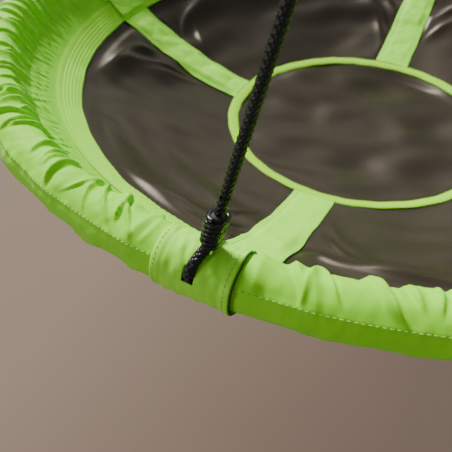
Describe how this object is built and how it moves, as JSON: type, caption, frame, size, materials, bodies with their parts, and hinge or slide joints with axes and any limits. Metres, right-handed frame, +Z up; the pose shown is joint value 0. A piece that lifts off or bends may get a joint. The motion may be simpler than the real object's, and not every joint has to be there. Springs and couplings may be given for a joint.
{
  "type": "saucer nest swing",
  "caption": "Round nest swing with a padded tube rim, a sagging woven seat with radial straps, and ropes meeting at two rings hung from snap hooks.",
  "frame": {"origin": "lowest point of the seat, on the swing's vertical centre line", "axes": "+Z up towards the hooks, X along the line through the two hanging points, Y the way it swings"},
  "size_m": [0.9978, 0.9978, 1.4805],
  "materials": {
    "galvanised_steel": "galvanised",
    "bright_zinc_steel": "bright zinc plated",
    "grey_pe_foam": "closed-cell foam",
    "lime_polyester_cover": "plain woven polyester",
    "lime_webbing": "double-stitched woven tape",
    "dark_woven_mesh": "fine woven mesh, satin",
    "black_braided_rope": "diamond braid",
    "clear_black_whipping": "clear sleeve over black cord",
    "black_nylon": "moulded"
  },
  "bodies": {
    "hooks": {"snap_hook_right": "bright_zinc_steel", "snap_hook_left": "bright_zinc_steel", "gate_pin_right": "galvanised_steel", "gate_pin_left": "galvanised_steel"},
    "ring_right": {"hanging_ring_right": "bright_zinc_steel"},
    "ring_left": {"hanging_ring_left": "bright_zinc_steel"},
    "gate_right": {"hook_gate_right": "bright_zinc_steel"},
    "gate_left": {"hook_gate_left": "bright_zinc_steel"},
    "ropes_right": {"rope_leg_front_right": "black_braided_rope", "rope_leg_back_right": "black_braided_rope"},
    "ropes_left": {"rope_leg_front_left": "black_braided_rope", "rope_leg_back_left": "black_braided_rope"},
    "saucer": {"seat_mesh": "dark_woven_mesh", "seat_hem_band": "lime_polyester_cover", "centre_ring_band": "lime_webbing", "frame_tube_front_right": "galvanised_steel", "frame_tube_back_right": "galvanised_steel", "frame_tube_back_left": "galvanised_steel", "frame_tube_front_left": "galvanised_steel", "frame_screw_front_right": "bright_zinc_steel", "frame_screw_back_right": "bright_zinc_steel", "frame_screw_back_left": "bright_zinc_steel", "frame_screw_front_left": "bright_zinc_steel", "foam_sleeve_right": "grey_pe_foam", "foam_sleeve_back": "grey_pe_foam", "foam_sleeve_left": "grey_pe_foam", "foam_sleeve_front": "grey_pe_foam", "rim_cover_right": "lime_polyester_cover", "rim_cover_back": "lime_polyester_cover", "rim_cover_left": "lime_polyester_cover", "rim_cover_front": "lime_polyester_cover", "rope_cuff_front_right": "lime_polyester_cover", "rope_cuff_back_right": "lime_polyester_cover", "rope_cuff_back_left": "lime_polyester_cover", "rope_cuff_front_left": "lime_polyester_cover", "seat_strap_front_right": "lime_webbing", "seat_strap_back_right": "lime_webbing", "seat_strap_back_left": "lime_webbing", "seat_strap_front_left": "lime_webbing", "rim_rope_loop_front_right": "black_braided_rope", "rim_rope_loop_back_right": "black_braided_rope", "rim_rope_loop_back_left": "black_braided_rope", "rim_rope_loop_front_left": "black_braided_rope", "rope_whipping_front_right": "clear_black_whipping", "rope_whipping_back_right": "clear_black_whipping", "rope_whipping_back_left": "clear_black_whipping", "rope_whipping_front_left": "clear_black_whipping"},
    "adjuster_front_right": {"rope_adjuster_front_right": "black_nylon"},
    "adjuster_back_right": {"rope_adjuster_back_right": "black_nylon"},
    "adjuster_back_left": {"rope_adjuster_back_left": "black_nylon"},
    "adjuster_front_left": {"rope_adjuster_front_left": "black_nylon"}
  },
  "joints": [
    {"name": "swing", "type": "hinge", "parent": "hooks", "child": "ring_left", "pos_m": [-0.34153, 0, 1.41082], "axis": [1, 0, 0], "range_deg": [-45, 45]},
    {"name": "swing_right", "type": "hinge", "parent": "hooks", "child": "ring_right", "pos_m": [0.34153, 0, 1.41082], "axis": [1, 0, 0], "range_deg": [-45, 45]},
    {"name": "sway", "type": "hinge", "parent": "ring_left", "child": "ropes_left", "pos_m": [-0.34153, 0, 1.35898], "axis": [0, 1, 0], "range_deg": [-20, 20]},
    {"name": "sway_right", "type": "hinge", "parent": "ring_right", "child": "ropes_right", "pos_m": [0.34153, 0, 1.35898], "axis": [0, 1, 0], "range_deg": [-20, 20]},
    {"name": "saucer_level", "type": "hinge", "parent": "ropes_left", "child": "saucer", "pos_m": [-0.34153, 0, 0.24142], "axis": [0, 1, 0], "range_deg": [-20, 20]},
    {"name": "gate_right_hinge", "type": "hinge", "parent": "hooks", "child": "gate_right", "pos_m": [0.35953, 0, 1.45982], "axis": [0, 1, 0], "range_deg": [0, 28], "stiffness_Nm_per_rad": 0.02},
    {"name": "gate_left_hinge", "type": "hinge", "parent": "hooks", "child": "gate_left", "pos_m": [-0.35953, 0, 1.45982], "axis": [0, -1, 0], "range_deg": [0, 28], "stiffness_Nm_per_rad": 0.02},
    {"name": "adjust_front_right", "type": "slide", "parent": "ropes_right", "child": "adjuster_front_right", "axis": [0, 0.2706, 0.9627], "range_m": [-0.09, 0.09]},
    {"name": "adjust_back_right", "type": "slide", "parent": "ropes_right", "child": "adjuster_back_right", "axis": [0, -0.2706, 0.9627], "range_m": [-0.09, 0.09]},
    {"name": "adjust_back_left", "type": "slide", "parent": "ropes_left", "child": "adjuster_back_left", "axis": [0, -0.2706, 0.9627], "range_m": [-0.09, 0.09]},
    {"name": "adjust_front_left", "type": "slide", "parent": "ropes_left", "child": "adjuster_front_left", "axis": [0, 0.2706, 0.9627], "range_m": [-0.09, 0.09]}
  ],
  "couplings": [
    {"joint": "swing_right", "follows": "swing", "ratio": 1},
    {"joint": "sway_right", "follows": "sway", "ratio": 1},
    {"joint": "saucer_level", "follows": "sway", "ratio": -1}
  ]
}
